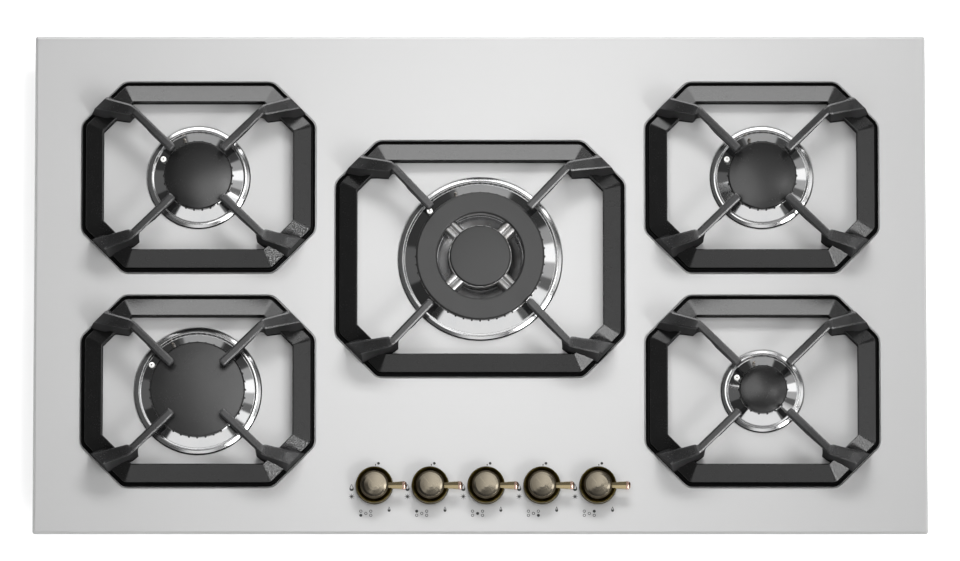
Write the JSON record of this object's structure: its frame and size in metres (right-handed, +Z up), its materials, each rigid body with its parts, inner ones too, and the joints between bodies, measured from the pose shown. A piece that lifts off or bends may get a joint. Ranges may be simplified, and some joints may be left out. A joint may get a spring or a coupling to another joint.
{
  "type": "gas cooktop",
  "caption": "Built-in gas cooktop: brushed steel plate, cast pan supports with cranked fingers, ring burners with dark caps and brass lever knobs along the front.",
  "frame": {"origin": "centre of the underside of the tray, which is the lowest face", "axes": "+X to the user's right along the width, +Y to the rear, +Z up"},
  "size_m": [0.89, 0.5, 0.09],
  "materials": {
    "steel": "brushed satin, grain along the width",
    "polished": "polished",
    "cast_enamel": "gloss black enamel over a fine cast texture",
    "cap_enamel": "matte dark grey enamel",
    "aluminium": "cast, machined faces",
    "galvanised": "galvanised sheet",
    "ceramic": "glazed",
    "bronze": "aged brass with a dark skirt",
    "black_plastic": "fine matte",
    "foam": "closed-cell foam"
  },
  "bodies": {
    "hob_body": {"top_plate": "steel", "base_tray": "galvanised", "worktop_seal": "foam", "burner_cup_front_left": "polished", "spark_electrode_front_left": "ceramic", "flame_sensor_front_left": "polished", "burner_cup_rear_left": "polished", "spark_electrode_rear_left": "ceramic", "flame_sensor_rear_left": "polished", "burner_cup_centre": "polished", "spark_electrode_centre": "ceramic", "flame_sensor_centre": "polished", "burner_cup_front_right": "polished", "spark_electrode_front_right": "ceramic", "flame_sensor_front_right": "polished", "burner_cup_rear_right": "polished", "spark_electrode_rear_right": "ceramic", "flame_sensor_rear_right": "polished", "gas_tap_front_left": "aluminium", "supply_pipe_front_left": "aluminium", "gas_tap_rear_left": "aluminium", "supply_pipe_rear_left": "aluminium", "gas_tap_centre": "aluminium", "supply_pipe_centre": "aluminium", "gas_tap_front_right": "aluminium", "supply_pipe_front_right": "aluminium", "gas_tap_rear_right": "aluminium", "supply_pipe_rear_right": "aluminium", "gas_manifold": "galvanised", "gas_inlet_elbow": "bronze", "spark_generator": "black_plastic", "terminal_box": "black_plastic", "worktop_clamp_right": "galvanised", "worktop_clamp_left": "galvanised"},
    "pan_support_front_left": {"pan_support_front_left": "cast_enamel"},
    "pan_support_rear_left": {"pan_support_rear_left": "cast_enamel"},
    "pan_support_centre": {"pan_support_centre": "cast_enamel"},
    "pan_support_front_right": {"pan_support_front_right": "cast_enamel"},
    "pan_support_rear_right": {"pan_support_rear_right": "cast_enamel"},
    "flame_spreader_front_left": {"flame_spreader_front_left": "aluminium"},
    "burner_cap_front_left": {"burner_cap_front_left": "cap_enamel"},
    "flame_spreader_rear_left": {"flame_spreader_rear_left": "aluminium"},
    "burner_cap_rear_left": {"burner_cap_rear_left": "cap_enamel"},
    "flame_spreader_centre": {"flame_spreader_centre": "aluminium"},
    "burner_cap_centre_ring": {"burner_cap_centre_ring": "cap_enamel"},
    "burner_cap_centre_middle": {"burner_cap_centre_middle": "cap_enamel"},
    "flame_spreader_front_right": {"flame_spreader_front_right": "aluminium"},
    "burner_cap_front_right": {"burner_cap_front_right": "cap_enamel"},
    "flame_spreader_rear_right": {"flame_spreader_rear_right": "aluminium"},
    "burner_cap_rear_right": {"burner_cap_rear_right": "cap_enamel"},
    "tap_spindle_front_left": {"tap_spindle_front_left": "polished"},
    "control_knob_front_left": {"control_knob_front_left": "bronze"},
    "tap_spindle_rear_left": {"tap_spindle_rear_left": "polished"},
    "control_knob_rear_left": {"control_knob_rear_left": "bronze"},
    "tap_spindle_centre": {"tap_spindle_centre": "polished"},
    "control_knob_centre": {"control_knob_centre": "bronze"},
    "tap_spindle_front_right": {"tap_spindle_front_right": "polished"},
    "control_knob_front_right": {"control_knob_front_right": "bronze"},
    "tap_spindle_rear_right": {"tap_spindle_rear_right": "polished"},
    "control_knob_rear_right": {"control_knob_rear_right": "bronze"}
  },
  "joints": [
    {"name": "pan_support_front_left_lift", "type": "slide", "parent": "hob_body", "child": "pan_support_front_left", "axis": [0, 0, 1], "range_m": [0, 0.12]},
    {"name": "pan_support_rear_left_lift", "type": "slide", "parent": "hob_body", "child": "pan_support_rear_left", "axis": [0, 0, 1], "range_m": [0, 0.12]},
    {"name": "pan_support_centre_lift", "type": "slide", "parent": "hob_body", "child": "pan_support_centre", "axis": [0, 0, 1], "range_m": [0, 0.12]},
    {"name": "pan_support_front_right_lift", "type": "slide", "parent": "hob_body", "child": "pan_support_front_right", "axis": [0, 0, 1], "range_m": [0, 0.12]},
    {"name": "pan_support_rear_right_lift", "type": "slide", "parent": "hob_body", "child": "pan_support_rear_right", "axis": [0, 0, 1], "range_m": [0, 0.12]},
    {"name": "flame_spreader_front_left_lift", "type": "slide", "parent": "hob_body", "child": "flame_spreader_front_left", "axis": [0, 0, 1], "range_m": [0, 0.004]},
    {"name": "burner_cap_front_left_lift", "type": "slide", "parent": "flame_spreader_front_left", "child": "burner_cap_front_left", "axis": [0, 0, 1], "range_m": [0, 0.006]},
    {"name": "flame_spreader_rear_left_lift", "type": "slide", "parent": "hob_body", "child": "flame_spreader_rear_left", "axis": [0, 0, 1], "range_m": [0, 0.004]},
    {"name": "burner_cap_rear_left_lift", "type": "slide", "parent": "flame_spreader_rear_left", "child": "burner_cap_rear_left", "axis": [0, 0, 1], "range_m": [0, 0.006]},
    {"name": "flame_spreader_centre_lift", "type": "slide", "parent": "hob_body", "child": "flame_spreader_centre", "axis": [0, 0, 1], "range_m": [0, 0.05]},
    {"name": "burner_cap_centre_ring_lift", "type": "slide", "parent": "flame_spreader_centre", "child": "burner_cap_centre_ring", "axis": [0, 0, 1], "range_m": [0, 0.04]},
    {"name": "burner_cap_centre_middle_lift", "type": "slide", "parent": "flame_spreader_centre", "child": "burner_cap_centre_middle", "axis": [0, 0, 1], "range_m": [0, 0.04]},
    {"name": "flame_spreader_front_right_lift", "type": "slide", "parent": "hob_body", "child": "flame_spreader_front_right", "axis": [0, 0, 1], "range_m": [0, 0.05]},
    {"name": "burner_cap_front_right_lift", "type": "slide", "parent": "flame_spreader_front_right", "child": "burner_cap_front_right", "axis": [0, 0, 1], "range_m": [0, 0.04]},
    {"name": "flame_spreader_rear_right_lift", "type": "slide", "parent": "hob_body", "child": "flame_spreader_rear_right", "axis": [0, 0, 1], "range_m": [0, 0.004]},
    {"name": "burner_cap_rear_right_lift", "type": "slide", "parent": "flame_spreader_rear_right", "child": "burner_cap_rear_right", "axis": [0, 0, 1], "range_m": [0, 0.006]},
    {"name": "knob_front_left_turn", "type": "hinge", "parent": "hob_body", "child": "tap_spindle_front_left", "pos_m": [-0.1051, -0.202, 0.055], "axis": [0, 0, 1], "range_deg": [0, 150]},
    {"name": "knob_front_left_push", "type": "slide", "parent": "tap_spindle_front_left", "child": "control_knob_front_left", "axis": [0, 0, -1], "range_m": [0, 0.003], "stiffness_N_per_m": 900, "springref_m": -0.004},
    {"name": "knob_rear_left_turn", "type": "hinge", "parent": "hob_body", "child": "tap_spindle_rear_left", "pos_m": [-0.0496, -0.202, 0.055], "axis": [0, 0, 1], "range_deg": [0, 150]},
    {"name": "knob_rear_left_push", "type": "slide", "parent": "tap_spindle_rear_left", "child": "control_knob_rear_left", "axis": [0, 0, -1], "range_m": [0, 0.003], "stiffness_N_per_m": 900, "springref_m": -0.004},
    {"name": "knob_centre_turn", "type": "hinge", "parent": "hob_body", "child": "tap_spindle_centre", "pos_m": [0.0059, -0.202, 0.055], "axis": [0, 0, 1], "range_deg": [0, 150]},
    {"name": "knob_centre_push", "type": "slide", "parent": "tap_spindle_centre", "child": "control_knob_centre", "axis": [0, 0, -1], "range_m": [0, 0.003], "stiffness_N_per_m": 900, "springref_m": -0.004},
    {"name": "knob_front_right_turn", "type": "hinge", "parent": "hob_body", "child": "tap_spindle_front_right", "pos_m": [0.0614, -0.202, 0.055], "axis": [0, 0, 1], "range_deg": [0, 150]},
    {"name": "knob_front_right_push", "type": "slide", "parent": "tap_spindle_front_right", "child": "control_knob_front_right", "axis": [0, 0, -1], "range_m": [0, 0.003], "stiffness_N_per_m": 900, "springref_m": -0.004},
    {"name": "knob_rear_right_turn", "type": "hinge", "parent": "hob_body", "child": "tap_spindle_rear_right", "pos_m": [0.1169, -0.202, 0.055], "axis": [0, 0, 1], "range_deg": [0, 150]},
    {"name": "knob_rear_right_push", "type": "slide", "parent": "tap_spindle_rear_right", "child": "control_knob_rear_right", "axis": [0, 0, -1], "range_m": [0, 0.003], "stiffness_N_per_m": 900, "springref_m": -0.004}
  ]
}
